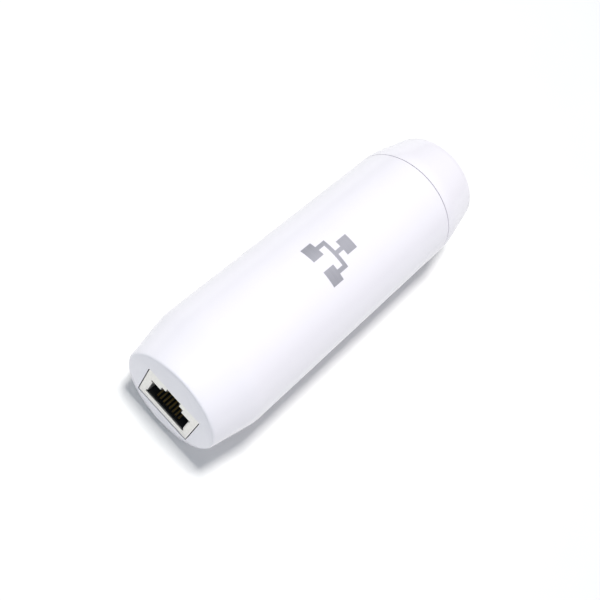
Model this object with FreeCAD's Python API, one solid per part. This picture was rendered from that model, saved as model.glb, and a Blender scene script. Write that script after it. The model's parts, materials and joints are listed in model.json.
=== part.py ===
import FreeCAD, Part
import math
import os

# Inline network power adapter: a white tube with a shielded eight-way network
# socket in each end and an isolated power converter on one long board inside.
# Frame: +Z up, Y along the tube, front socket facing -Y. The origin is at the
# middle of the underside, so the tube rests on z = 0. All sizes in millimetres.

V = FreeCAD.Vector

# ---- driving dimensions: housing
LENGTH = 100.0
DIAMETER = 32.0
END_DIAMETER = 27.1
TAPER = 12.0
SHOULDER_RADIUS = 18.0
END_CHAMFER = 0.5
WALL = 1.7
END_WALL = 2.0
CAP_LENGTH = 14.2
SEAM_GAP = 0.04
SEAM_CHAMFER = 0.25
SPIGOT_LENGTH = 4.0
SPIGOT_WALL = 1.4
SPIGOT_CLEARANCE = 0.05
KEY_WIDTH = 3.0
KEY_HEIGHT = 0.75
KEY_CLEARANCE = 0.1
BADGE_DEPTH = 0.35
BADGE_Y = -1.2
PAD_WIDTH = 8.0
PAD_FRONT = -35.0
PAD_BACK = 31.0

# ---- driving dimensions: board
BOARD_TOP = 7.1
BOARD_THICKNESS = 1.6
BOARD_WIDTH = 18.0
BOARD_HALF_LENGTH = 44.0
BOARD_NECK_WIDTH = 14.0
BOARD_NECK_START = 39.0

# ---- driving dimensions: network socket, depth measured from its front face
SOCKET_RECESS = 0.15
SHIELD_WIDTH = 15.9
SHIELD_TOP = 13.4
SHIELD_BOTTOM = 0.1
SHIELD_DEPTH = 18.4
SHEET = 0.25
SHEET_BEND = 0.5
CAVITY_WIDTH = 11.9
CAVITY_FLOOR = 2.65
CAVITY_HEIGHT = 6.7
CAVITY_DEPTH = 13.4
KEYWAY_WIDTH = 6.3
KEYWAY_TOP = 10.95
NOTCH_WIDTH = 3.8
NOTCH_TOP = 12.65
LATCH_LIP = 1.5
WIRES = 8
WIRE_PITCH = 1.016
WIRE_WIDTH = 0.4
WIRE_THICKNESS = 0.3
WIRE_SLOT = 0.56
WIRE_LENGTH = 11.8
WIRE_SLOPE = 20.0
HINGE_DEPTH = 1.3
HINGE_HEIGHT = 2.9
HINGE_RADIUS = 0.22
RUN_HEIGHT = 1.4
TAIL_DEPTHS = (14.8, 16.9)
TAIL_BELOW = 2.6
PEG_DEPTH = 12.4
PEG_SPACING = 11.43
PEG_RADIUS = 1.6
TAB_DEPTH = 14.0
TAB_WIDTH = 1.6
APERTURE_GAP = 0.25

# ---- worked out from the driving dimensions
HALF = LENGTH / 2
RADIUS = DIAMETER / 2
END_RADIUS = END_DIAMETER / 2
AXIS_Z = RADIUS
SEAM_Y = HALF - CAP_LENGTH
TAPER_SLOPE = (RADIUS - END_RADIUS) / TAPER
INNER_END_RADIUS = END_RADIUS - WALL + TAPER_SLOPE * END_WALL
SPIGOT_RADIUS = RADIUS - WALL - SPIGOT_CLEARANCE
BOARD_BOTTOM = BOARD_TOP - BOARD_THICKNESS
SOCKET_FACE = HALF - SOCKET_RECESS


def box(x0, x1, y0, y1, z0, z1):
    return Part.makeBox(x1 - x0, y1 - y0, z1 - z0, V(x0, y0, z0))


def centred_box(width, y0, y1, z0, z1):
    return box(-width / 2, width / 2, y0, y1, z0, z1)


def rounded_wire(corners):
    """Closed outline through (point, radius) corners, each rounded by its radius."""
    count = len(corners)
    entries = []
    exits = []
    arcs = []
    for index, (point, radius) in enumerate(corners):
        back = (corners[index - 1][0] - point).normalize()
        ahead = (corners[(index + 1) % count][0] - point).normalize()
        if radius == 0:
            entries.append(point)
            exits.append(point)
            arcs.append(None)
            continue
        half_angle = back.getAngle(ahead) / 2
        reach = radius / math.tan(half_angle)
        bisector = (back + ahead).normalize()
        middle = point + bisector * (radius / math.sin(half_angle) - radius)
        entries.append(point + back * reach)
        exits.append(point + ahead * reach)
        arcs.append(Part.Arc(entries[-1], middle, exits[-1]).toShape())
    edges = []
    for index in range(count):
        if arcs[index] is not None:
            edges.append(arcs[index])
        start = exits[index]
        end = entries[(index + 1) % count]
        if start.distanceToPoint(end) > 1e-6:
            edges.append(Part.LineSegment(start, end).toShape())
    return Part.Wire(edges)


def revolved(corners):
    """Full turn about the tube's axis of (radius, y, rounding) corners."""
    wire = rounded_wire([(V(r, y, AXIS_Z), rounding) for r, y, rounding in corners])
    return Part.Face(wire).revolve(V(0, 0, AXIS_Z), V(0, 1, 0), 360)


def prism_along_y(corners, y0, y1):
    """Outline of (x, z, rounding) corners, drawn out from y0 to y1."""
    wire = rounded_wire([(V(x, y0, z), rounding) for x, z, rounding in corners])
    return Part.Face(wire).extrude(V(0, y1 - y0, 0))


def prism_along_x(corners, x0, x1):
    """Outline of (y, z, rounding) corners, drawn out from x0 to x1."""
    wire = rounded_wire([(V(x0, y, z), rounding) for y, z, rounding in corners])
    return Part.Face(wire).extrude(V(x1 - x0, 0, 0))


def prism_up(corners, z0, z1):
    """Outline of (x, y, rounding) corners, drawn up from z0 to z1."""
    wire = rounded_wire([(V(x, y, z0), rounding) for x, y, rounding in corners])
    return Part.Face(wire).extrude(V(0, 0, z1 - z0))


def rectangle(width, height, rounding, x=0.0, y=0.0):
    a = width / 2
    b = height / 2
    return [(x - a, y - b, rounding), (x + a, y - b, rounding),
            (x + a, y + b, rounding), (x - a, y + b, rounding)]


def fused(shapes):
    return shapes[0].multiFuse(shapes[1:]).removeSplitter()


# ---- housing: round tubes and cones about the tube's axis

def aperture():
    """Window in an end wall, a thin gap wider than the socket's shield."""
    width = SHIELD_WIDTH + 2 * APERTURE_GAP
    bottom = BOARD_TOP + SHIELD_BOTTOM - APERTURE_GAP
    top = BOARD_TOP + SHIELD_TOP + APERTURE_GAP
    middle = (bottom + top) / 2
    outline = rectangle(width, top - bottom, 0.5, 0, middle)
    return prism_along_y(outline, -HALF - 1, HALF + 1)


def badge_outline():
    """Generic wired-network sign: one box joined by lines to two boxes."""
    node_width = 4.2
    node_height = 3.5
    spread = 3.7
    reach = 4.25
    line = 1.1
    top = BADGE_Y + reach
    low = BADGE_Y - reach
    low_z = DIAMETER - 4
    high_z = DIAMETER + 1
    pieces = [prism_up(rectangle(node_width, node_height, 0, 0, top), low_z, high_z),
              centred_box(line, BADGE_Y, top, low_z, high_z),
              centred_box(2 * spread + line, BADGE_Y - line / 2, BADGE_Y + line / 2, low_z, high_z)]
    for x in (-spread, spread):
        pieces.append(prism_up(rectangle(node_width, node_height, 0, x, low), low_z, high_z))
        pieces.append(box(x - line / 2, x + line / 2, low, BADGE_Y, low_z, high_z))
    return fused(pieces)


def badge_inlay():
    skin = revolved([(RADIUS - BADGE_DEPTH, BADGE_Y - 9, 0), (RADIUS + 0.03, BADGE_Y - 9, 0),
                     (RADIUS + 0.03, BADGE_Y + 9, 0), (RADIUS - BADGE_DEPTH, BADGE_Y + 9, 0)])
    return badge_outline().common(skin)


def board_rails():
    """Grooved ledges inside the tube that hold both long edges of the board."""
    y0 = -36.0
    y1 = SEAM_Y - SPIGOT_LENGTH - 0.4
    play = 0.06
    core = Part.makeCylinder(RADIUS - WALL / 2, y1 - y0, V(0, y0, AXIS_Z), V(0, 1, 0))
    ledge = centred_box(DIAMETER, y0, y1, BOARD_BOTTOM - 1.2, BOARD_TOP + 1.0)
    middle = centred_box(BOARD_WIDTH - 1.6, y0 - 1, y1 + 1, 0, DIAMETER)
    slot = centred_box(BOARD_WIDTH + 0.3, y0 - 1, y1 + 1, BOARD_BOTTOM - play, BOARD_TOP + play)
    return core.common(ledge).cut(middle).cut(slot)


def key_boxes(grow):
    """The two keys that stop the cap turning, or their grooves when grown."""
    low = SEAM_Y - SPIGOT_LENGTH + 0.4 - grow
    high = SEAM_Y + (1 if grow else 0.5)
    outer = SPIGOT_RADIUS + KEY_HEIGHT + grow
    inner = SPIGOT_RADIUS - 0.6
    z0 = AXIS_Z - KEY_WIDTH / 2 - grow
    z1 = AXIS_Z + KEY_WIDTH / 2 + grow
    return [box(inner, outer, low, high, z0, z1), box(-outer, -inner, low, high, z0, z1)]


def foot_pad():
    """Low flat pad, level with the tube's lowest line, that stops it rolling."""
    middle = (PAD_FRONT + PAD_BACK) / 2
    outline = rectangle(PAD_WIDTH, PAD_BACK - PAD_FRONT, PAD_WIDTH / 2 - 0.01, 0, middle)
    return prism_up(outline, 0, WALL / 2)


def housing_sleeve():
    tube = revolved([(0, -HALF, 0), (END_RADIUS - END_CHAMFER, -HALF, 0),
                     (END_RADIUS, -HALF + END_CHAMFER, 0), (RADIUS, -HALF + TAPER, SHOULDER_RADIUS), (RADIUS, SEAM_Y - SEAM_CHAMFER, 0),
                     (RADIUS - SEAM_CHAMFER, SEAM_Y, 0), (RADIUS - WALL, SEAM_Y, 0),
                     (RADIUS - WALL, -HALF + TAPER, 0), (INNER_END_RADIUS, -HALF + END_WALL, 0),
                     (0, -HALF + END_WALL, 0)])
    tube = fused([tube, foot_pad()] + board_rails().Solids)
    for groove in key_boxes(KEY_CLEARANCE):
        tube = tube.cut(groove)
    tube = tube.cut(aperture())
    tube = tube.cut(badge_inlay())
    return tube


def end_cap():
    """Tapered cap with a straight bore, its spigot cut away where the board passes."""
    face_y = SEAM_Y + SEAM_GAP
    tip_y = SEAM_Y - SPIGOT_LENGTH
    bore = SPIGOT_RADIUS - SPIGOT_WALL
    lead_in = 0.4
    cap = revolved([(0, HALF, 0), (END_RADIUS - END_CHAMFER, HALF, 0),
                    (END_RADIUS, HALF - END_CHAMFER, 0), (RADIUS, HALF - TAPER, SHOULDER_RADIUS),
                    (RADIUS, face_y, 0), (SPIGOT_RADIUS, face_y, 0),
                    (SPIGOT_RADIUS, tip_y + lead_in, 0), (SPIGOT_RADIUS - lead_in, tip_y, 0),
                    (bore, tip_y, 0), (bore, HALF - END_WALL, 0), (0, HALF - END_WALL, 0)])
    cap = fused([cap] + key_boxes(0))
    relief_end = BOARD_NECK_START + 0.5
    relief = centred_box(BOARD_WIDTH + 3.2, tip_y - 1, relief_end, 0, BOARD_TOP + 1.2)
    inside = Part.makeCylinder(RADIUS - WALL, relief_end - tip_y + 2, V(0, tip_y - 1, AXIS_Z), V(0, 1, 0))
    cap = cap.cut(relief.common(inside))
    return cap.cut(aperture())


# ---- network socket, in its own frame: depth along +Y from the front face,
# heights from the board's top face. Each end of the tube gets one.

def wire_places():
    first = -(WIRES - 1) * WIRE_PITCH / 2
    return [first + index * WIRE_PITCH for index in range(WIRES)]


def mouth_outline(grow):
    """Plug opening with its keyway and latch notch."""
    a = CAVITY_WIDTH / 2 + grow
    b = KEYWAY_WIDTH / 2 + grow
    c = NOTCH_WIDTH / 2 + grow
    floor = CAVITY_FLOOR - grow
    roof = CAVITY_FLOOR + CAVITY_HEIGHT + grow
    step = KEYWAY_TOP + grow
    top = NOTCH_TOP + grow * 0.6
    right = [(a, floor, 0), (a, roof, 0), (b, roof, 0), (b, step, 0), (c, step, 0), (c, top, 0)]
    left = [(-x, z, rounding) for x, z, rounding in reversed(right)]
    return right + left


def socket_body():
    gap = 0.05
    half = SHIELD_WIDTH / 2 - SHEET - gap
    top = SHIELD_TOP - SHEET - gap
    front = SHEET + 0.02
    back = SHIELD_DEPTH - SHEET - gap
    body = prism_along_y([(half, 0, 0), (half, top, 0.3), (-half, top, 0.3), (-half, 0, 0)], front, back)
    cuts = [prism_along_y(mouth_outline(0), 0, CAVITY_DEPTH),
            centred_box(KEYWAY_WIDTH, LATCH_LIP, CAVITY_DEPTH, KEYWAY_TOP - 0.5, NOTCH_TOP)]
    slot_top = RUN_HEIGHT + 0.35
    for x in wire_places():
        low = x - WIRE_SLOT / 2
        high = x + WIRE_SLOT / 2
        cuts.append(box(low, high, 0.9, back - 0.4, -1, slot_top))
        cuts.append(box(low, high, 0.9, 1.9, slot_top - 0.1, CAVITY_FLOOR + 1))
    body = body.cut(Part.makeCompound(cuts))
    fin_front = 11.2
    fin_top = CAVITY_FLOOR + 4.9
    fins = []
    for index in range(WIRES + 1):
        middle = wire_places()[0] + (index - 0.5) * WIRE_PITCH
        half_fin = (WIRE_PITCH - WIRE_SLOT) / 2
        profile = [(fin_front, CAVITY_FLOOR - 0.2, 0), (CAVITY_DEPTH + 0.2, CAVITY_FLOOR - 0.2, 0),
                   (CAVITY_DEPTH + 0.2, fin_top, 0), (fin_front + 0.8, fin_top, 0),
                   (fin_front, fin_top - 0.8, 0)]
        fins.append(prism_along_x(profile, middle - half_fin, middle + half_fin))
    for side in (-1, 1):
        x = side * PEG_SPACING / 2
        fins.append(Part.makeCylinder(PEG_RADIUS, BOARD_THICKNESS + 0.9, V(x, PEG_DEPTH, -BOARD_THICKNESS - 0.4)))
    return fused([body] + fins)


def socket_contacts():
    """Eight spring wires, each turning about its front bend when a plug goes in."""
    arms = []
    r = HINGE_RADIUS
    t = WIRE_THICKNESS / 2
    chamfer = 0.4 * r
    profile = [(r, t, 0), (chamfer, r, 0), (-chamfer, r, 0), (-r, chamfer, 0), (-r, -chamfer, 0),
               (-chamfer, -r, 0), (chamfer, -r, 0), (r, -t, 0), (WIRE_LENGTH - 0.15, -t, 0),
               (WIRE_LENGTH, 0, 0), (WIRE_LENGTH - 0.15, t, 0)]
    for x in wire_places():
        arm = prism_along_x(profile, x - WIRE_WIDTH / 2, x + WIRE_WIDTH / 2)
        arm.rotate(V(0, 0, 0), V(1, 0, 0), WIRE_SLOPE)
        arm.translate(V(0, HINGE_DEPTH, HINGE_HEIGHT))
        arms.append(arm)
    return arms


def socket_pins():
    """The fixed length of each wire: riser, run under the floor, and solder tail."""
    pins = []
    t = WIRE_THICKNESS
    for index, x in enumerate(wire_places()):
        tail = TAIL_DEPTHS[index % 2]
        riser_top = HINGE_HEIGHT - HINGE_RADIUS - 0.04
        front = HINGE_DEPTH - t / 2
        low = RUN_HEIGHT - t / 2
        bend = 0.3
        corners = [(front, riser_top, 0), (front, low + bend, 0), (front + bend, low, 0), (tail - t / 2, low, 0),
                   (tail - t / 2, -TAIL_BELOW, 0), (tail + t / 2, -TAIL_BELOW, 0),
                   (tail + t / 2, low + t - bend, 0), (tail + t / 2 - bend, low + t, 0),
                   (front + t, low + t, 0), (front + t, riser_top, 0)]
        pins.append(prism_along_x(corners, x - WIRE_WIDTH / 2, x + WIRE_WIDTH / 2))
    return pins


def socket_shield():
    """Folded sheet shell, open below, with a front flange round the plug opening."""
    half = SHIELD_WIDTH / 2
    inner = half - SHEET
    shell = prism_along_y([(half, SHIELD_BOTTOM, 0), (half, SHIELD_TOP, SHEET_BEND),
                           (-half, SHIELD_TOP, SHEET_BEND), (-half, SHIELD_BOTTOM, 0)], 0, SHIELD_DEPTH)
    hollow = prism_along_y([(inner, -1, 0), (inner, SHIELD_TOP - SHEET, SHEET_BEND - SHEET),
                            (-inner, SHIELD_TOP - SHEET, SHEET_BEND - SHEET), (-inner, -1, 0)],
                           SHEET, SHIELD_DEPTH - SHEET)
    shell = shell.cut(hollow).cut(prism_along_y(mouth_outline(0.3), -1, 1))
    tabs = []
    for side in (-1, 1):
        x = side * (half - SHEET / 2)
        tab = box(x - SHEET / 2, x + SHEET / 2, TAB_DEPTH, TAB_DEPTH + TAB_WIDTH, -2.3, 0.6)
        tabs.append(tab)
    return fused([shell] + tabs)


def at_front(shape):
    moved = shape.copy()
    moved.translate(V(0, -SOCKET_FACE, BOARD_TOP))
    return moved


def at_rear(shape):
    moved = shape.copy()
    moved.rotate(V(0, 0, 0), V(0, 0, 1), 180)
    moved.translate(V(0, SOCKET_FACE, BOARD_TOP))
    return moved


# ---- board and the pieces soldered to it. Each piece is made about the
# origin on z = 0, then stood on the board's top or hung under its bottom.

def on_top(shape, x, y, turn=0):
    moved = shape.copy()
    moved.rotate(V(0, 0, 0), V(0, 0, 1), turn)
    moved.translate(V(x, y, BOARD_TOP))
    return moved


def underneath(shape, x, y, turn=0):
    moved = shape.copy()
    moved.rotate(V(0, 0, 0), V(0, 0, 1), turn)
    moved.rotate(V(0, 0, 0), V(0, 1, 0), 180)
    moved.translate(V(x, y, BOARD_BOTTOM))
    return moved


def board_outline():
    a = BOARD_WIDTH / 2
    b = BOARD_NECK_WIDTH / 2
    right = [(b, -BOARD_HALF_LENGTH, 0), (b, -BOARD_NECK_START, 0), (a, -BOARD_NECK_START, 0),
             (a, BOARD_NECK_START, 0), (b, BOARD_NECK_START, 0), (b, BOARD_HALF_LENGTH, 0)]
    left = [(-x, y, rounding) for x, y, rounding in reversed(right)]
    return right + left


def circuit_board():
    """Long board. Pins fill their plated holes, as solder makes them do."""
    board = prism_up(board_outline(), BOARD_BOTTOM, BOARD_TOP)
    holes = []
    for side in (-1, 1):
        x = side * PEG_SPACING / 2
        holes.append(Part.makeCylinder(PEG_RADIUS + 0.05, 9, V(x, PEG_DEPTH, -5)))
        x = side * (SHIELD_WIDTH - SHEET) / 2
        holes.append(box(x - SHEET / 2, x + SHEET / 2, TAB_DEPTH, TAB_DEPTH + TAB_WIDTH, -5, 0))
    holes += socket_pins()
    for place in (at_front, at_rear):
        for hole in holes:
            board = board.cut(place(hole))
    for pin in transformer_pins():
        board = board.cut(on_top(pin, 0, TRANSFORMER_Y))
    return board


def gull_lead(reach, mid, width):
    """One bent lead leaving a package's side at height mid and standing at reach."""
    t = 0.18
    corners = [(0, mid, 0), (0.4, mid, 0), (0.4, 0, 0), (reach, 0, 0), (reach, t, 0),
               (0.4 + t, t, 0), (0.4 + t, mid + t, 0), (0, mid + t, 0)]
    return prism_along_x(corners, -width / 2, width / 2)


def leaded_package(width, length, height, leads, pitch, lead_width, standoff=0.1):
    """Moulded package with a row of bent leads on both Y sides: (case, leads)."""
    draft = 0.08 * height
    half = length / 2
    mid = standoff + (height - standoff) / 2
    profile = [(half - draft, standoff, 0), (half, mid, 0), (half - draft, height, 0.15),
               (-half + draft, height, 0.15), (-half, mid, 0), (-half + draft, standoff, 0)]
    case = prism_along_x(profile, -width / 2, width / 2)
    first = -(leads - 1) * pitch / 2
    rows = []
    for index in range(leads):
        lead = gull_lead(1.1, mid - 0.09, lead_width)
        lead.translate(V(first + index * pitch, half, 0))
        rows.append(lead)
        mirrored = lead.copy()
        mirrored.rotate(V(0, 0, 0), V(0, 0, 1), 180)
        rows.append(mirrored)
    return case, rows


def can_capacitor(diameter, height):
    """Surface-mount electrolytic: (aluminium can, moulded base, two terminals)."""
    r = diameter / 2
    side = diameter + 0.3
    base_height = 1.3
    can = Part.makeCylinder(r, height - base_height, V(0, 0, base_height))
    a = side / 2
    corner = 1.2
    outline = [(-a, -a, 0.2), (a - corner, -a, 0.2), (a, -a + corner, 0.2),
               (a, a - corner, 0.2), (a - corner, a, 0.2), (-a, a, 0.2)]
    base = prism_up(outline, 0.25, base_height)
    terminals = []
    for side_sign in (-1, 1):
        inner = side_sign * 1.0
        outer = side_sign * (a + 0.5)
        terminals.append(box(min(inner, outer), max(inner, outer), -0.4, 0.4, 0, 0.25))
    return can, base, terminals


def chip(length, width, height):
    """Small two-ended chip: (middle, [end caps])."""
    end = 0.22 * length
    middle = box(-length / 2 + end, length / 2 - end, -width / 2, width / 2, 0.02, height)
    ends = [box(-length / 2, -length / 2 + end, -width / 2, width / 2, 0, height + 0.02),
            box(length / 2 - end, length / 2, -width / 2, width / 2, 0, height + 0.02)]
    return middle, ends


# ---- power transformer, coil lying along Y between two pin blocks
TRANSFORMER_Y = 3.0
COIL_LENGTH = 7.4
FLANGE = 0.9
COIL_Z = 8.0
CORE_WIDTH = 16.0
CORE_HEIGHT = 4.8
CORE_BACK = 2.2
CORE_LEG = 2.1
CORE_CENTRE = 4.4
PIN_PITCH = 3.0
PIN_SIZE = 0.6


def transformer_pin_places():
    y = COIL_LENGTH / 2 + FLANGE + CORE_BACK / 2
    return [(x * PIN_PITCH, side * y) for side in (-1, 1) for x in (-1.5, -0.5, 0.5, 1.5)]


def transformer_core():
    """Two E-shaped ferrite halves that meet leg to leg."""
    half_y = COIL_LENGTH / 2 + FLANGE + 0.1
    z0 = COIL_Z - CORE_HEIGHT / 2
    z1 = COIL_Z + CORE_HEIGHT / 2
    halves = []
    for side in (-1, 1):
        back_in = side * half_y
        back_out = side * (half_y + CORE_BACK)
        meet = side * 0.01
        pieces = [centred_box(CORE_WIDTH, min(back_in, back_out), max(back_in, back_out), z0, z1)]
        low = min(meet, back_in)
        high = max(meet, back_in)
        outer = CORE_WIDTH / 2
        pieces.append(centred_box(CORE_CENTRE, low, high, z0, z1))
        pieces.append(box(outer - CORE_LEG, outer, low, high, z0, z1))
        pieces.append(box(-outer, -outer + CORE_LEG, low, high, z0, z1))
        halves.append(fused(pieces))
    return halves


def transformer_bobbin():
    wall = 0.6
    clear = 0.1
    hole_x = CORE_CENTRE + 2 * clear
    hole_z = CORE_HEIGHT + 2 * clear
    half = COIL_LENGTH / 2
    width = CORE_WIDTH - 2 * CORE_LEG - 0.4
    bottom = COIL_Z - 5.6
    top = COIL_Z + 5.4
    pieces = [centred_box(hole_x + 2 * wall, -half - FLANGE, half + FLANGE,
                          COIL_Z - hole_z / 2 - wall, COIL_Z + hole_z / 2 + wall)]
    for side in (-1, 1):
        inner = side * half
        outer = side * (half + FLANGE)
        y0 = min(inner, outer)
        y1 = max(inner, outer)
        flange = [(width / 2, bottom, 0.6), (width / 2, top, 1.2), (-width / 2, top, 1.2), (-width / 2, bottom, 0.6)]
        pieces.append(prism_along_y(flange, y0, y1))
        foot_out = side * (half + FLANGE + CORE_BACK)
        pieces.append(centred_box(width, min(inner, foot_out), max(inner, foot_out), 0.4, bottom + 0.6))
        for x in (-1, 1):
            leg = side * (half + FLANGE + CORE_BACK - 0.5)
            pieces.append(box(x * width / 2 - 0.5, x * width / 2 + 0.5, leg - 0.5, leg + 0.5, 0, 0.6)
                          .common(centred_box(width, -20, 20, 0, 1)))
    hole = centred_box(hole_x, -half - FLANGE - 1, half + FLANGE + 1, COIL_Z - hole_z / 2, COIL_Z + hole_z / 2)
    return fused(pieces).cut(hole).cut(Part.makeCompound(transformer_pins()))


def transformer_winding():
    clear = 0.1
    core_x = CORE_CENTRE / 2 + clear + 0.6
    core_z = CORE_HEIGHT / 2 + clear + 0.6
    build_up = 1.7
    y0 = -COIL_LENGTH / 2
    y1 = COIL_LENGTH / 2
    outer = [(core_x + build_up, COIL_Z - core_z - build_up, 1.6), (core_x + build_up, COIL_Z + core_z + build_up, 1.6),
             (-core_x - build_up, COIL_Z + core_z + build_up, 1.6), (-core_x - build_up, COIL_Z - core_z - build_up, 1.6)]
    tube = centred_box(2 * core_x, y0 - 1, y1 + 1, COIL_Z - core_z, COIL_Z + core_z)
    return prism_along_y(outer, y0, y1).cut(tube)


def transformer_pins():
    half = PIN_SIZE / 2
    low = -BOARD_THICKNESS - 0.8
    return [box(x - half, x + half, y - half, y + half, low, 1.7) for x, y in transformer_pin_places()]


def drum_inductor():
    """Small power inductor: (ferrite drum, winding round its waist)."""
    wire = rounded_wire([(V(0, 0, 0.1), 0), (V(2.1, 0, 0.1), 0), (V(2.1, 0, 0.9), 0), (V(1.1, 0, 0.9), 0),
                         (V(1.1, 0, 2.7), 0), (V(2.1, 0, 2.7), 0), (V(2.1, 0, 3.4), 0), (V(0, 0, 3.4), 0)])
    drum = Part.Face(wire).revolve(V(0, 0, 0), V(0, 0, 1), 360)
    coil = Part.makeCylinder(1.9, 1.8, V(0, 0, 0.9)).cut(Part.makeCylinder(1.1, 1.8, V(0, 0, 0.9)))
    return drum, coil


def place_all(placer, shapes, *where):
    return [placer(shape, *where) for shape in shapes]


def build_socket(parts, end, place):
    parts[end + "_socket_shield"] = place(socket_shield())
    parts[end + "_socket_body"] = place(socket_body())
    parts[end + "_socket_contacts"] = Part.makeCompound([place(arm) for arm in socket_contacts()])
    parts[end + "_socket_pins"] = Part.makeCompound([place(pin) for pin in socket_pins()])


def build_magnetics(parts, end, y):
    case, leads = leaded_package(12.7, 5.9, 5.6, 8, 1.27, 0.5)
    parts[end + "_line_transformer"] = on_top(case, 0, y)
    parts[end + "_line_transformer_leads"] = Part.makeCompound(place_all(on_top, leads, 0, y))


def build_transformer(parts):
    y = TRANSFORMER_Y
    parts["power_transformer_core"] = Part.makeCompound(place_all(on_top, transformer_core(), 0, y))
    parts["power_transformer_bobbin"] = on_top(transformer_bobbin(), 0, y)
    parts["power_transformer_winding"] = on_top(transformer_winding(), 0, y)
    parts["power_transformer_pins"] = Part.makeCompound(place_all(on_top, transformer_pins(), 0, y))


def build_capacitors(parts):
    can, base, terminals = can_capacitor(10.0, 10.2)
    where = (0, -11.6)
    parts["input_capacitor_can"] = on_top(can, *where)
    parts["input_capacitor_base"] = on_top(base, *where)
    metal = place_all(on_top, terminals, *where)
    can, base, terminals = can_capacitor(6.3, 7.7)
    cans = []
    bases = []
    for x in (-3.9, 3.9):
        cans.append(on_top(can, x, 14.4, 90))
        bases.append(on_top(base, x, 14.4, 90))
        metal += place_all(on_top, terminals, x, 14.4, 90)
    parts["output_capacitor_cans"] = Part.makeCompound(cans)
    parts["output_capacitor_bases"] = Part.makeCompound(bases)
    parts["capacitor_terminals"] = Part.makeCompound(metal)


def build_packages(parts):
    """Moulded chips and diodes, with their leads kept as separate metal pieces."""
    case, leads = leaded_package(4.7, 3.9, 2.5, 2, 2.5, 0.7)
    cases = [on_top(case, x, -19.3) for x in (-4.2, 4.2)]
    metal = [lead for x in (-4.2, 4.2) for lead in place_all(on_top, leads, x, -19.3)]
    parts["bridge_rectifiers"] = Part.makeCompound(cases)
    parts["bridge_rectifier_leads"] = Part.makeCompound(metal)
    for name, size, placer, where in (
            ("controller_chip", (5.0, 3.9, 1.6, 4, 1.27, 0.42), underneath, (0, -12, 90)),
            ("power_transistor", (5.0, 3.9, 1.7, 4, 1.27, 0.42), underneath, (0, 3.0, 90)),
            ("optocoupler", (4.4, 4.0, 2.1, 2, 2.54, 0.5), on_top, (4.3, 20.7, 90)),
            ("surge_suppressor", (3.6, 4.4, 2.2, 1, 1.0, 2.0), underneath, (0, -21, 90)),
            ("output_diode", (3.6, 4.4, 2.2, 1, 1.0, 2.0), underneath, (0, 15.0, 90))):
        case, leads = leaded_package(*size)
        parts[name] = placer(case, *where)
        parts[name + "_leads"] = Part.makeCompound(place_all(placer, leads, *where))


def build_inductor(parts):
    drum, coil = drum_inductor()
    parts["filter_inductor_core"] = on_top(drum, -4.6, 20.7)
    parts["filter_inductor_winding"] = on_top(coil, -4.6, 20.7)


def build_chips(parts):
    """Chip resistors and capacitors in rows on both faces of the board."""
    resistor_rows = [(underneath, (x, y, 90)) for y in (-17, -7.5, 5, 18) for x in (-6.2, -4.2, 4.2, 6.2)]
    capacitor_rows = [(underneath, (x, y, 0)) for y in (-24.5, 11.4, 22.0) for x in (-4.5, 0, 4.5)]
    resistors = []
    capacitors = []
    ends = []
    for placer, where in resistor_rows:
        middle, caps = chip(2.0, 1.25, 0.5)
        resistors.append(placer(middle, *where))
        ends += place_all(placer, caps, *where)
    for placer, where in capacitor_rows:
        middle, caps = chip(3.2, 1.6, 1.3)
        capacitors.append(placer(middle, *where))
        ends += place_all(placer, caps, *where)
    parts["chip_resistors"] = Part.makeCompound(resistors)
    parts["chip_capacitors"] = Part.makeCompound(capacitors)
    parts["chip_end_caps"] = Part.makeCompound(ends)


def build_parts():
    parts = {"housing_sleeve": housing_sleeve(), "end_cap": end_cap(), "badge_inlay": badge_inlay(),
             "circuit_board": circuit_board()}
    build_socket(parts, "front", at_front)
    build_socket(parts, "rear", at_rear)
    build_magnetics(parts, "front", -27.0)
    build_magnetics(parts, "rear", 27.3)
    build_transformer(parts)
    build_capacitors(parts)
    build_packages(parts)
    build_inductor(parts)
    build_chips(parts)
    return parts


os.makedirs("parts", exist_ok=True)
for node, shape in build_parts().items():
    shape.exportStep(os.path.join("parts", node + ".step"))
    print(node, len(shape.Solids), round(shape.Volume, 2), "valid" if shape.isValid() else "NOT VALID")
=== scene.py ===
import json
import math

import bmesh
import bpy
from mathutils import Matrix, Vector


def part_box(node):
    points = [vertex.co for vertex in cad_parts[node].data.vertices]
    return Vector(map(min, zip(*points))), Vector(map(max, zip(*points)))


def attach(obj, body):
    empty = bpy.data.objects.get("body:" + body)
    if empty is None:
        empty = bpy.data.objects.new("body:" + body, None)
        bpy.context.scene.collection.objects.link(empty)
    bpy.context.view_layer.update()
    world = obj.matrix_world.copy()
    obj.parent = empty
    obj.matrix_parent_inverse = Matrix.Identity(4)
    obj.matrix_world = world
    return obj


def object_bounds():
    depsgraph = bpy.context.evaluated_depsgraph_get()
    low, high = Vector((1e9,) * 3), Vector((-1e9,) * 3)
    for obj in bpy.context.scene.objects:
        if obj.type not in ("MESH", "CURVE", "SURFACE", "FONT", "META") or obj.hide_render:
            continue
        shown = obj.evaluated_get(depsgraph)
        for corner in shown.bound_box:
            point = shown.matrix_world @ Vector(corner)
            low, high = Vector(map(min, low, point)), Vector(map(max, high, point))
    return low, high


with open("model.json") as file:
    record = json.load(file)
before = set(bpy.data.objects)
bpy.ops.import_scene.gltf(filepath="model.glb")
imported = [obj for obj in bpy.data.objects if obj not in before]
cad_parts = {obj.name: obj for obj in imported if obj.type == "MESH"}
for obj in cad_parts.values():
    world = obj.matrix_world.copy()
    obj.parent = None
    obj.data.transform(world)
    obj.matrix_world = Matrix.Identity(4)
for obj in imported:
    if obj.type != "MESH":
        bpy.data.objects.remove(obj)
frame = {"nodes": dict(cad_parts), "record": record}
CAD_BOUNDS = [[float(v) for v in corner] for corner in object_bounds()]
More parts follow.
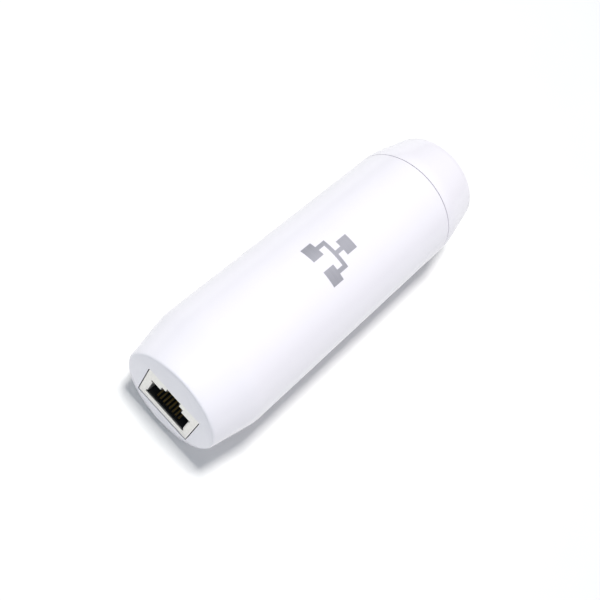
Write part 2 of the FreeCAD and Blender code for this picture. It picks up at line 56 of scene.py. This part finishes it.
NODES = frame["nodes"]

# ---- camera, in the row frame: aimed from above the front end, rolled
AIM = Vector((0.0016, -0.0073, 0.0160))
AZIMUTH = 7.6
ELEVATION = 58.78
ROLL = 40.5
DISTANCE = 0.2161
LENS_MM = 52.63
SENSOR_MM = 36.0

# ---- light: tints of the tent, and one small softbox high overhead
FRONT_TINT = (0.88, 1.12, 1.22)
BACK_TINT = (1.0, 0.98, 1.0)
LEFT_TINT = (0.62, 0.66, 0.70)
RIGHT_TINT = (1.38, 1.30, 1.34)
TENT_STRENGTH = 0.405
KEY_PLACE = (-0.112, -0.010, 0.88)
KEY_SIZE = 0.144
KEY_POWER = 6.2

FLOOR_SIZE = 3.0
SHARP_ANGLE = 48


# ---- camera, floor and lights

def place_camera():
    azimuth = math.radians(AZIMUTH)
    elevation = math.radians(ELEVATION)
    back = Vector((math.cos(elevation) * math.sin(azimuth),
                   -math.cos(elevation) * math.cos(azimuth),
                   math.sin(elevation)))
    level = Vector((math.cos(azimuth), math.sin(azimuth), 0))
    rise = back.cross(level)
    roll = math.radians(ROLL)
    right = level * math.cos(roll) + rise * math.sin(roll)
    up = back.cross(right)
    data = bpy.data.cameras.new("product_camera")
    data.lens = LENS_MM
    data.sensor_width = SENSOR_MM
    data.clip_start = 0.005
    camera = bpy.data.objects.new("product_camera", data)
    turn = Matrix((right, up, back)).transposed().to_4x4()
    camera.matrix_world = Matrix.Translation(AIM + back * DISTANCE) @ turn
    bpy.context.scene.collection.objects.link(camera)
    bpy.context.scene.camera = camera


def area_light(name, where, toward, size, power, colour):
    data = bpy.data.lights.new(name, "AREA")
    data.shape = "RECTANGLE"
    data.size = size[0]
    data.size_y = size[1]
    data.energy = power
    data.color = colour
    light = bpy.data.objects.new(name, data)
    light.location = Vector(where)
    light.rotation_euler = (Vector(toward) - Vector(where)).to_track_quat("-Z", "Y").to_euler()
    bpy.context.scene.collection.objects.link(light)


def light_stage():
    """A pale tent, cooler in front of the object and warmer to its right, and one high softbox."""
    world = bpy.data.worlds.new("studio")
    bpy.context.scene.world = world
    world.use_nodes = True
    tree = world.node_tree
    direction = tree.nodes.new("ShaderNodeTexCoord").outputs["Generated"]
    axes = tree.nodes.new("ShaderNodeSeparateXYZ")
    tree.links.new(direction, axes.inputs["Vector"])
    shade = None
    for axis, low, high in (("Y", FRONT_TINT, BACK_TINT), ("X", LEFT_TINT, RIGHT_TINT)):
        reach = tree.nodes.new("ShaderNodeMapRange")
        reach.inputs["From Min"].default_value = -1
        tree.links.new(axes.outputs[axis], reach.inputs["Value"])
        mix = tree.nodes.new("ShaderNodeMix")
        mix.data_type = "RGBA"
        mix.inputs["A"].default_value = (*low, 1)
        mix.inputs["B"].default_value = (*high, 1)
        tree.links.new(reach.outputs["Result"], mix.inputs["Factor"])
        if shade is None:
            shade = mix.outputs["Result"]
            continue
        product = tree.nodes.new("ShaderNodeMix")
        product.data_type = "RGBA"
        product.blend_type = "MULTIPLY"
        product.inputs["Factor"].default_value = 1
        tree.links.new(shade, product.inputs["A"])
        tree.links.new(mix.outputs["Result"], product.inputs["B"])
        shade = product.outputs["Result"]
    sky = tree.nodes["Background"]
    tree.links.new(shade, sky.inputs["Color"])
    sky.inputs["Strength"].default_value = TENT_STRENGTH
    area_light("key_softbox", KEY_PLACE, AIM, (KEY_SIZE, KEY_SIZE), KEY_POWER, (1.0, 1.0, 0.99))


def build_floor():
    half = FLOOR_SIZE / 2
    corners = [(-half, -half, 0), (half, -half, 0), (half, half, 0), (-half, half, 0)]
    mesh = bpy.data.meshes.new("floor")
    mesh.from_pydata(corners, [], [(0, 1, 2, 3)])
    floor = bpy.data.objects.new("floor", mesh)
    floor.location.z = CAD_BOUNDS[0][2] - 0.00002
    bpy.context.scene.collection.objects.link(floor)
    paint = Paint("paper_floor", (0.895, 0.88, 0.865), 0.85)
    paint.shader.inputs["Specular IOR Level"].default_value = 0
    paint.mottle(40, 0.985, 1.0)
    mesh.materials.append(paint.material)


# ---- materials. A Paint wraps one node material and adds layers to it.

class Paint:
    def __init__(self, name, colour, roughness, metallic=0.0):
        self.material = bpy.data.materials.new(name)
        self.material.use_nodes = True
        self.tree = self.material.node_tree
        self.shader = self.tree.nodes["Principled BSDF"]
        self.colour = colour
        self.shader.inputs["Base Color"].default_value = (*colour, 1)
        self.shader.inputs["Roughness"].default_value = roughness
        self.shader.inputs["Metallic"].default_value = metallic
        self.place = self.tree.nodes.new("ShaderNodeTexCoord").outputs["Object"]
        self.normal = None

    def node(self, kind, **values):
        made = self.tree.nodes.new(kind)
        for key, value in values.items():
            if key in made.inputs:
                made.inputs[key].default_value = value
            else:
                setattr(made, key, value)
        return made

    def link(self, output, target):
        self.tree.links.new(output, target)

    def stretched(self, scale):
        mapping = self.node("ShaderNodeMapping")
        mapping.inputs["Scale"].default_value = scale
        self.link(self.place, mapping.inputs["Vector"])
        return mapping.outputs["Vector"]

    def noise(self, scale, detail=4.0, stretch=None):
        made = self.node("ShaderNodeTexNoise", Scale=scale, Detail=detail)
        self.link(self.stretched(stretch) if stretch else self.place, made.inputs["Vector"])
        return made.outputs["Fac"]

    def span(self, value, low, high, start=0.3, end=0.7):
        made = self.node("ShaderNodeMapRange")
        made.inputs["From Min"].default_value = start
        made.inputs["From Max"].default_value = end
        made.inputs["To Min"].default_value = low
        made.inputs["To Max"].default_value = high
        self.link(value, made.inputs["Value"])
        return made.outputs["Result"]

    def mix(self, factor, first, second):
        made = self.node("ShaderNodeMix", data_type="RGBA")
        self.link(factor, made.inputs["Factor"])
        for value, socket in ((first, made.inputs["A"]), (second, made.inputs["B"])):
            if hasattr(value, "is_linked"):
                self.link(value, socket)
            else:
                socket.default_value = (*value, 1)
        return made.outputs["Result"]

    def mottle(self, scale, low, high, stretch=None):
        """Uneven colour: the base colour times low to high, in soft patches."""
        first = tuple(c * low for c in self.colour)
        second = tuple(c * high for c in self.colour)
        factor = self.span(self.noise(scale, 5.0, stretch), 0, 1)
        self.link(self.mix(factor, first, second), self.shader.inputs["Base Color"])
        return self

    def blotch_roughness(self, scale, low, high, stretch=None):
        """Roughness that wanders about low to high without ever reaching a hard limit."""
        spread = high - low
        value = self.span(self.noise(scale, 2.0, stretch), low - spread, high + spread, 0, 1)
        self.link(value, self.shader.inputs["Roughness"])
        return self

    def bump(self, height, depth, strength=1.0):
        made = self.node("ShaderNodeBump", Strength=strength, Distance=depth)
        self.link(height, made.inputs["Height"])
        if self.normal is not None:
            self.link(self.normal, made.inputs["Normal"])
        self.normal = made.outputs["Normal"]
        self.link(self.normal, self.shader.inputs["Normal"])
        return self


def white_shell():
    paint = Paint("white_shell", (0.878, 0.840, 0.880), 0.24)
    paint.mottle(60, 0.985, 1.0)
    paint.blotch_roughness(120, 0.22, 0.26)
    paint.bump(paint.noise(500, 1.0), 0.000002, 0.3)
    paint.shader.inputs["Coat Weight"].default_value = 0.25
    paint.shader.inputs["Coat Roughness"].default_value = 0.12
    return paint.material


def silver_mark():
    paint = Paint("silver_mark", (0.46, 0.45, 0.49), 0.42, 0.5)
    grain = (90, 9000, 90)
    paint.mottle(1.0, 0.93, 1.03, grain)
    paint.blotch_roughness(1.0, 0.38, 0.46, grain)
    paint.bump(paint.noise(1.0, 2.0, grain), 0.000002, 0.2)
    return paint.material


def board_laminate():
    paint = Paint("board_laminate", (0.012, 0.115, 0.045), 0.32)
    lines = paint.node("ShaderNodeTexWave", wave_type="BANDS", bands_direction="X")
    lines.inputs["Scale"].default_value = 210
    lines.inputs["Distortion"].default_value = 2.5
    lines.inputs["Detail"].default_value = 0.0
    lines.inputs["Detail Scale"].default_value = 0.4
    paint.link(paint.place, lines.inputs["Vector"])
    track = paint.span(lines.outputs["Fac"], 0, 1, 0.55, 0.62)
    patches = paint.span(paint.noise(160, 0.0), 0, 1, 0.48, 0.5)
    both = paint.node("ShaderNodeMath", operation="MULTIPLY")
    paint.link(track, both.inputs[0])
    paint.link(patches, both.inputs[1])
    mixed = paint.mix(both.outputs[0], paint.colour, (0.028, 0.20, 0.075))
    paint.link(mixed, paint.shader.inputs["Base Color"])
    paint.bump(both.outputs[0], 0.00004, 0.5)
    paint.shader.inputs["Coat Weight"].default_value = 0.4
    return paint.material


def brushed_metal(name, colour, roughness, stretch):
    paint = Paint(name, colour, roughness, 1.0)
    paint.mottle(1.0, 0.88, 1.0, stretch)
    paint.blotch_roughness(1.0, roughness - 0.02, roughness + 0.03, stretch)
    paint.bump(paint.noise(1.0, 2.0, stretch), 0.000002, 0.3)
    return paint.material


def moulded_plastic(name, colour, roughness, grain):
    paint = Paint(name, colour, roughness)
    paint.mottle(grain / 8, 0.8, 1.25)
    paint.blotch_roughness(grain, roughness - 0.08, roughness + 0.1)
    paint.bump(paint.noise(grain, 4.0), 0.00003, 0.4)
    return paint.material


def winding_tape():
    paint = Paint("winding_tape", (0.62, 0.40, 0.045), 0.3)
    paint.mottle(300, 0.85, 1.05)
    paint.bump(paint.noise(1.0, 2.0, (90, 1500, 90)), 0.00004, 0.4)
    paint.shader.inputs["Coat Weight"].default_value = 0.5
    return paint.material


def copper_wire():
    paint = Paint("copper_wire", (0.62, 0.25, 0.09), 0.28, 1.0)
    turns = paint.node("ShaderNodeTexWave", wave_type="BANDS", bands_direction="Z")
    turns.inputs["Scale"].default_value = 900
    paint.link(paint.place, turns.inputs["Vector"])
    paint.mottle(300, 0.8, 1.05)
    paint.bump(turns.outputs["Fac"], 0.0001, 0.8)
    return paint.material


MATERIALS = {
    "white_shell": white_shell,
    "silver_mark": silver_mark,
    "board_laminate": board_laminate,
    "tinned_sheet": lambda: brushed_metal("tinned_sheet", (0.79, 0.775, 0.74), 0.37, (1500, 700, 700)),
    "black_insulator": lambda: moulded_plastic("black_insulator", (0.010, 0.010, 0.011), 0.45, 1500),
    # the contacts' gold is darkened far below real gold: painted shade that stands in for the deep
    # shadow inside the socket cavity
    "gold_contact": lambda: brushed_metal("gold_contact", (0.15, 0.10, 0.038), 0.40, (300, 900, 300)),
    "black_moulding": lambda: moulded_plastic("black_moulding", (0.020, 0.020, 0.022), 0.55, 2200),
    "tinned_lead": lambda: brushed_metal("tinned_lead", (0.72, 0.72, 0.71), 0.30, (900, 900, 900)),
    "ferrite": lambda: moulded_plastic("ferrite", (0.045, 0.043, 0.045), 0.62, 1800),
    "winding_tape": winding_tape,
    "aluminium_can": lambda: brushed_metal("aluminium_can", (0.80, 0.80, 0.81), 0.28, (120, 120, 2400)),
    "copper_wire": copper_wire,
    "ceramic_chip": lambda: moulded_plastic("ceramic_chip", (0.42, 0.30, 0.19), 0.5, 2600),
}


def smooth_group():
    """Smooth shading that keeps every edge over SHARP_ANGLE crisp."""
    tree = bpy.data.node_groups.new("smooth_by_angle", "GeometryNodeTree")
    tree.interface.new_socket("Geometry", in_out="INPUT", socket_type="NodeSocketGeometry")
    tree.interface.new_socket("Geometry", in_out="OUTPUT", socket_type="NodeSocketGeometry")
    start = tree.nodes.new("NodeGroupInput")
    end = tree.nodes.new("NodeGroupOutput")
    angle = tree.nodes.new("GeometryNodeInputMeshEdgeAngle")
    sharp = tree.nodes.new("FunctionNodeCompare")
    sharp.data_type = "FLOAT"
    sharp.operation = "LESS_THAN"
    sharp.inputs["B"].default_value = math.radians(SHARP_ANGLE)
    merge = tree.nodes.new("GeometryNodeMergeByDistance")
    merge.inputs["Distance"].default_value = 1e-7
    faces = tree.nodes.new("GeometryNodeSetShadeSmooth")
    edges = tree.nodes.new("GeometryNodeSetShadeSmooth")
    edges.domain = "EDGE"
    tree.links.new(start.outputs["Geometry"], merge.inputs["Geometry"])
    tree.links.new(merge.outputs["Geometry"], faces.inputs["Geometry"])
    tree.links.new(faces.outputs["Geometry"], edges.inputs["Geometry"])
    tree.links.new(angle.outputs["Unsigned Angle"], sharp.inputs["A"])
    tree.links.new(sharp.outputs["Result"], edges.inputs["Shade Smooth"])
    tree.links.new(edges.outputs["Geometry"], end.inputs["Geometry"])
    return tree


def smooth_nodes():
    for node in NODES.values():
        node.modifiers.new("smooth_by_angle", "NODES").node_group = smoothing
        weigh = node.modifiers.new("flat_faces", "WEIGHTED_NORMAL")
        weigh.keep_sharp = True


def paint_nodes():
    made = {name: make() for name, make in MATERIALS.items()}
    for entry in frame["record"]["subparts"]:
        node = NODES[entry["node"]]
        node.data.materials.clear()
        node.data.materials.append(made[entry["material_slot"]])
    return made

# ---- small parts that only the looks need, in metres. A shape is a list of
# points and a list of faces, and a piece is several shapes in one mesh.

MM = 0.001
WIRES = 8
WIRE_PITCH = 1.016 * MM
TAIL_DEPTHS = (14.8 * MM, 16.9 * MM)
TAB_DEPTH = 14.8 * MM
PRINT_MARGIN = 0.35 * MM
PRINT_WIDTH = 0.16 * MM


def prism(outline, low, high):
    """A flat outline stood up from low to high."""
    count = len(outline)
    points = [(x, y, low) for x, y in outline] + [(x, y, high) for x, y in outline]
    faces = [tuple(reversed(range(count))), tuple(range(count, 2 * count))]
    for i in range(count):
        j = (i + 1) % count
        faces.append((i, j, j + count, i + count))
    return points, faces


def lathe(x, y, profile, segments=14):
    """A profile of (radius, height) turned about the upright line through x, y."""
    points = []
    for radius, height in profile:
        for step in range(segments):
            angle = 2 * math.pi * step / segments
            points.append((x + radius * math.cos(angle), y + radius * math.sin(angle), height))
    faces = [tuple(range(segments))]
    for row in range(len(profile) - 1):
        for step in range(segments):
            a = row * segments + step
            b = row * segments + (step + 1) % segments
            faces.append((a, a + segments, b + segments, b))
    faces.append(tuple(reversed(range(len(points) - segments, len(points)))))
    return points, faces


def ring(low, high, width, base, top):
    """A rectangular line of the given width, printed round a box."""
    outer = [(low[0], low[1]), (high[0], low[1]), (high[0], high[1]), (low[0], high[1])]
    inner = [(low[0] + width, low[1] + width), (high[0] - width, low[1] + width),
             (high[0] - width, high[1] - width), (low[0] + width, high[1] - width)]
    points = [(x, y, z) for z in (base, top) for x, y in outer + inner]
    faces = []
    for i in range(4):
        j = (i + 1) % 4
        faces.append((8 + i, 8 + j, 12 + j, 12 + i))
        faces.append((j, i, 4 + i, 4 + j))
        faces.append((i, j, 8 + j, 8 + i))
        faces.append((4 + j, 4 + i, 12 + i, 12 + j))
    return points, faces


def add_piece(name, slot, shapes, edge=0.0):
    points = []
    faces = []
    for shape_points, shape_faces in shapes:
        start = len(points)
        points.extend(shape_points)
        faces.extend(tuple(start + index for index in face) for face in shape_faces)
    mesh = bpy.data.meshes.new(name)
    mesh.from_pydata(points, [], faces)
    shaper = bmesh.new()
    shaper.from_mesh(mesh)
    bmesh.ops.recalc_face_normals(shaper, faces=shaper.faces)
    shaper.to_mesh(mesh)
    shaper.free()
    mesh.materials.append(finishes[slot])
    piece = bpy.data.objects.new(name, mesh)
    bpy.context.scene.collection.objects.link(piece)
    if edge:
        soften = piece.modifiers.new("soft_edges", "BEVEL")
        soften.width = edge
        soften.segments = 2
    piece.modifiers.new("smooth_by_angle", "NODES").node_group = smoothing
    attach(piece, "housing")


def socket_ends():
    """For each socket: its name, the height of the board, its face and the way in."""
    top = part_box("circuit_board")[1][2]
    yield "front", top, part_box("front_socket_shield")[0][1], 1
    yield "rear", top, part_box("rear_socket_shield")[1][1], -1


def plug_springs():
    """The shield's two leaf springs, bent in from its front edge at the sides of the opening."""
    path = [(6.28, 0.02), (6.12, 0.06), (5.98, 0.32), (5.80, 1.7), (5.74, 2.4), (5.77, 3.1), (5.90, 4.9)]
    sheet = 0.14
    for end, board, face, inward in socket_ends():
        shapes = []
        for side in (-1, 1):
            near = [(side * x * MM, face + inward * depth * MM) for x, depth in path]
            far = [(side * (x - sheet) * MM, face + inward * (depth + 0.04) * MM) for x, depth in path]
            shapes.append(prism(near + far[::-1], board + 3.2 * MM, board + 8.8 * MM))
        add_piece(end + "_plug_springs", "tinned_sheet", shapes, 0.03 * MM)


def shield_ribs():
    """Two stiffening ribs stamped along the top of each shield."""
    for end, board, face, inward in socket_ends():
        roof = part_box(end + "_socket_shield")[1][2]
        shapes = []
        for side in (-1, 1):
            near = side * 3.6 * MM
            far = side * 5.0 * MM
            ends = [face + inward * depth * MM for depth in (5.6, 6.2, 12.6, 13.2)]
            middle = (near + far) / 2
            outline = [(middle, ends[0]), (far, ends[1]), (far, ends[2]), (middle, ends[3]),
                       (near, ends[2]), (near, ends[1])]
            shapes.append(prism(outline, roof - 0.03 * MM, roof + 0.13 * MM))
        add_piece(end + "_shield_ribs", "tinned_sheet", shapes, 0.09 * MM)


def solder_joints():
    """Concave fillets round every pin and tab under the board."""
    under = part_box("circuit_board")[0][2]
    small = [(0.50, 0.02), (0.36, -0.08), (0.27, -0.3), (0.24, -0.62), (0.12, -0.74)]
    large = [(1.00, 0.02), (0.86, -0.08), (0.72, -0.26), (0.62, -0.46), (0.30, -0.54)]
    shapes = []
    for end, board, face, inward in socket_ends():
        for index in range(WIRES):
            x = inward * (index - (WIRES - 1) / 2) * WIRE_PITCH
            y = face + inward * TAIL_DEPTHS[index % 2]
            shapes.append(lathe(x, y, [(r * MM, under + z * MM) for r, z in small]))
        for side in (-1, 1):
            x = side * (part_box(end + "_socket_shield")[1][0] - 0.12 * MM)
            y = face + inward * TAB_DEPTH
            shapes.append(lathe(x, y, [(r * MM, under + z * MM) for r, z in large]))
    add_piece("solder_joints", "tinned_lead", shapes)


def board_print():
    """White outlines printed on the board round its larger parts. There is no lettering."""
    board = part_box("circuit_board")[1][2]
    shapes = []
    for node in ("front_line_transformer", "rear_line_transformer", "power_transformer_core",
                 "input_capacitor_base", "output_capacitor_bases", "bridge_rectifiers",
                 "optocoupler", "filter_inductor_core"):
        low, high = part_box(node)
        low = [v - PRINT_MARGIN for v in low]
        high = [v + PRINT_MARGIN for v in high]
        shapes.append(ring(low, high, PRINT_WIDTH, board - 0.01 * MM, board + 0.02 * MM))
    add_piece("board_print", "white_shell", shapes)


bpy.context.scene.view_settings.view_transform = "Standard"
place_camera()
light_stage()
build_floor()
finishes = paint_nodes()
smoothing = smooth_group()
smooth_nodes()
plug_springs()
shield_ribs()
solder_joints()
board_print()
